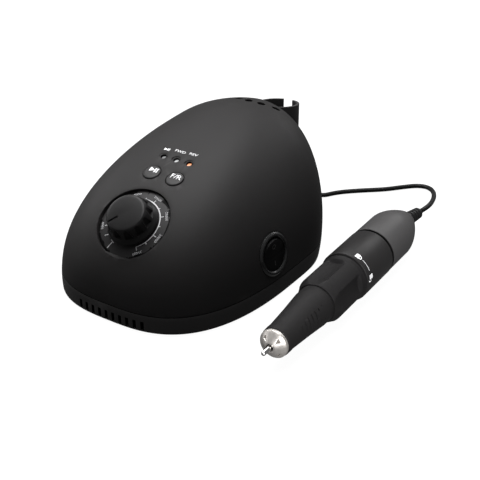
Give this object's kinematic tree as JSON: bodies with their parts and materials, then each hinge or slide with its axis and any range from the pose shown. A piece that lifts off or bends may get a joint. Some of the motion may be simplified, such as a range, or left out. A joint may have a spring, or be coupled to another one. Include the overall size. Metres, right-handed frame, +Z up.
{
  "type": "nail drill machine",
  "caption": "Domed tabletop nail drill control unit with a speed knob, buttons, rocker switch and holder, and a corded handpiece with a locking collar and collet.",
  "frame": {"origin": "on the table, under the middle of the box round the control unit and the handpiece beside it", "axes": "+Z up, -Y towards the user (the dial and the handpiece's nose face it), +X towards the side with the power switch"},
  "size_m": [0.1642, 0.2233, 0.0755],
  "materials": {
    "shell_black": "fine matt texture",
    "tray_black": "matt",
    "rubber_black": "matt",
    "screw_steel": "satin",
    "dial_black": "satin with white print",
    "knob_black": "satin gloss",
    "pot_metal": "satin",
    "button_black": "satin with white print",
    "board_green": "solder mask",
    "chip_black": "matt",
    "light_clear": "frosted",
    "light_amber": "frosted",
    "switch_black": "gloss",
    "terminal_brass": "plain",
    "plug_black": "satin",
    "pin_nickel": "polished",
    "core_steel": "varnished laminations",
    "copper_tape": "enamelled copper under tape",
    "capacitor_blue": "gloss sleeve",
    "sink_aluminium": "anodised",
    "grip_black": "soft touch",
    "nose_steel": "polished",
    "steel": "ground",
    "magnet_black": "sintered",
    "cord_rubber": "satin"
  },
  "bodies": {
    "base_unit": {"upper_shell": "shell_black", "base_tray": "tray_black", "rubber_feet": "rubber_black", "case_screws": "screw_steel", "dial_plate": "dial_black", "potentiometer_body": "pot_metal", "potentiometer_nut": "pot_metal", "tact_switches": "chip_black", "control_board": "board_green", "control_chip": "chip_black", "run_light": "light_clear", "forward_light": "light_clear", "reverse_light": "light_amber", "power_switch_housing": "switch_black", "switch_terminals": "terminal_brass", "handpiece_socket": "plug_black", "socket_nut": "pin_nickel", "plug_contact": "pin_nickel", "plug_handle": "plug_black", "power_inlet": "plug_black", "inlet_pins": "terminal_brass", "handpiece_holder": "tray_black", "holder_screws": "screw_steel", "power_board": "board_green", "board_screws": "screw_steel", "filter_capacitors": "capacitor_blue", "heat_sink": "sink_aluminium", "regulator": "chip_black", "transformer_core": "core_steel", "transformer_winding": "copper_tape", "handpiece_cord": "cord_rubber", "cord_coil": "cord_rubber", "plug_cord": "cord_rubber"},
    "speed_control": {"speed_knob": "knob_black", "potentiometer_shaft": "pot_metal"},
    "play_control": {"play_button": "button_black"},
    "direction_control": {"direction_button": "button_black"},
    "power_control": {"power_rocker": "switch_black"},
    "handpiece": {"nose_cone": "nose_steel", "grip_sleeve": "grip_black", "spindle_tube": "steel", "front_bearing": "steel", "rear_bearing": "steel", "barrel": "grip_black", "rear_cap": "grip_black", "motor_can": "steel", "motor_magnets": "magnet_black", "motor_end_cap": "plug_black", "cord_boot": "cord_rubber"},
    "collar": {"lock_collar": "grip_black"},
    "cam": {"cam_sleeve": "steel"},
    "spindle": {"spindle_shaft": "steel", "drive_coupling": "plug_black", "motor_rotor": "copper_tape", "disc_springs": "steel"},
    "collet_set": {"collet": "steel", "drawbar": "steel", "cross_pin": "steel", "thrust_ring": "steel"},
    "pin": {"transit_pin": "nose_steel"}
  },
  "joints": [
    {"name": "speed_knob_turn", "type": "hinge", "parent": "base_unit", "child": "speed_control", "pos_m": [-0.02041, -0.06499, 0.0481], "axis": [0, 0.5612, -0.8277], "range_deg": [0, 300]},
    {"name": "play_button_press", "type": "slide", "parent": "base_unit", "child": "play_control", "axis": [0, 0.3386, -0.9409], "range_m": [0, 0.0005], "stiffness_N_per_m": 800, "springref_m": -0.0005},
    {"name": "direction_button_press", "type": "slide", "parent": "base_unit", "child": "direction_control", "axis": [0, 0.3386, -0.9409], "range_m": [0, 0.0005], "stiffness_N_per_m": 800, "springref_m": -0.0005},
    {"name": "power_rocker_tilt", "type": "hinge", "parent": "base_unit", "child": "power_control", "pos_m": [0.03327, -0.0209, 0.0246], "axis": [-0.0967, -0.9953, 0], "range_deg": [0, 14]},
    {"name": "handpiece_lift", "type": "hinge", "parent": "base_unit", "child": "handpiece", "pos_m": [0.07096, 0.08049, 0.0138], "axis": [-1, 0, 0], "range_deg": [0, 60]},
    {"name": "lock_collar_turn", "type": "hinge", "parent": "handpiece", "child": "collar", "pos_m": [0.06839, -0.02458, 0.0138], "axis": [0, 1, 0], "range_deg": [0, 60]},
    {"name": "cam_slide", "type": "slide", "parent": "handpiece", "child": "cam", "axis": [0, -1, 0], "range_m": [0, 0.0012]},
    {"name": "spindle_spin", "type": "hinge", "parent": "handpiece", "child": "spindle", "pos_m": [0.06839, -0.02458, 0.0138], "axis": [0, -1, 0], "continuous": true},
    {"name": "collet_open", "type": "slide", "parent": "spindle", "child": "collet_set", "axis": [0, -1, 0], "range_m": [0, 0.001]},
    {"name": "pin_pull", "type": "slide", "parent": "collet_set", "child": "pin", "axis": [0, -1, 0], "range_m": [0, 0.025]}
  ],
  "couplings": [
    {"joint": "cam_slide", "follows": "lock_collar_turn", "m_per_rad": 0.001145},
    {"joint": "collet_open", "follows": "lock_collar_turn", "m_per_rad": 0.000954}
  ]
}
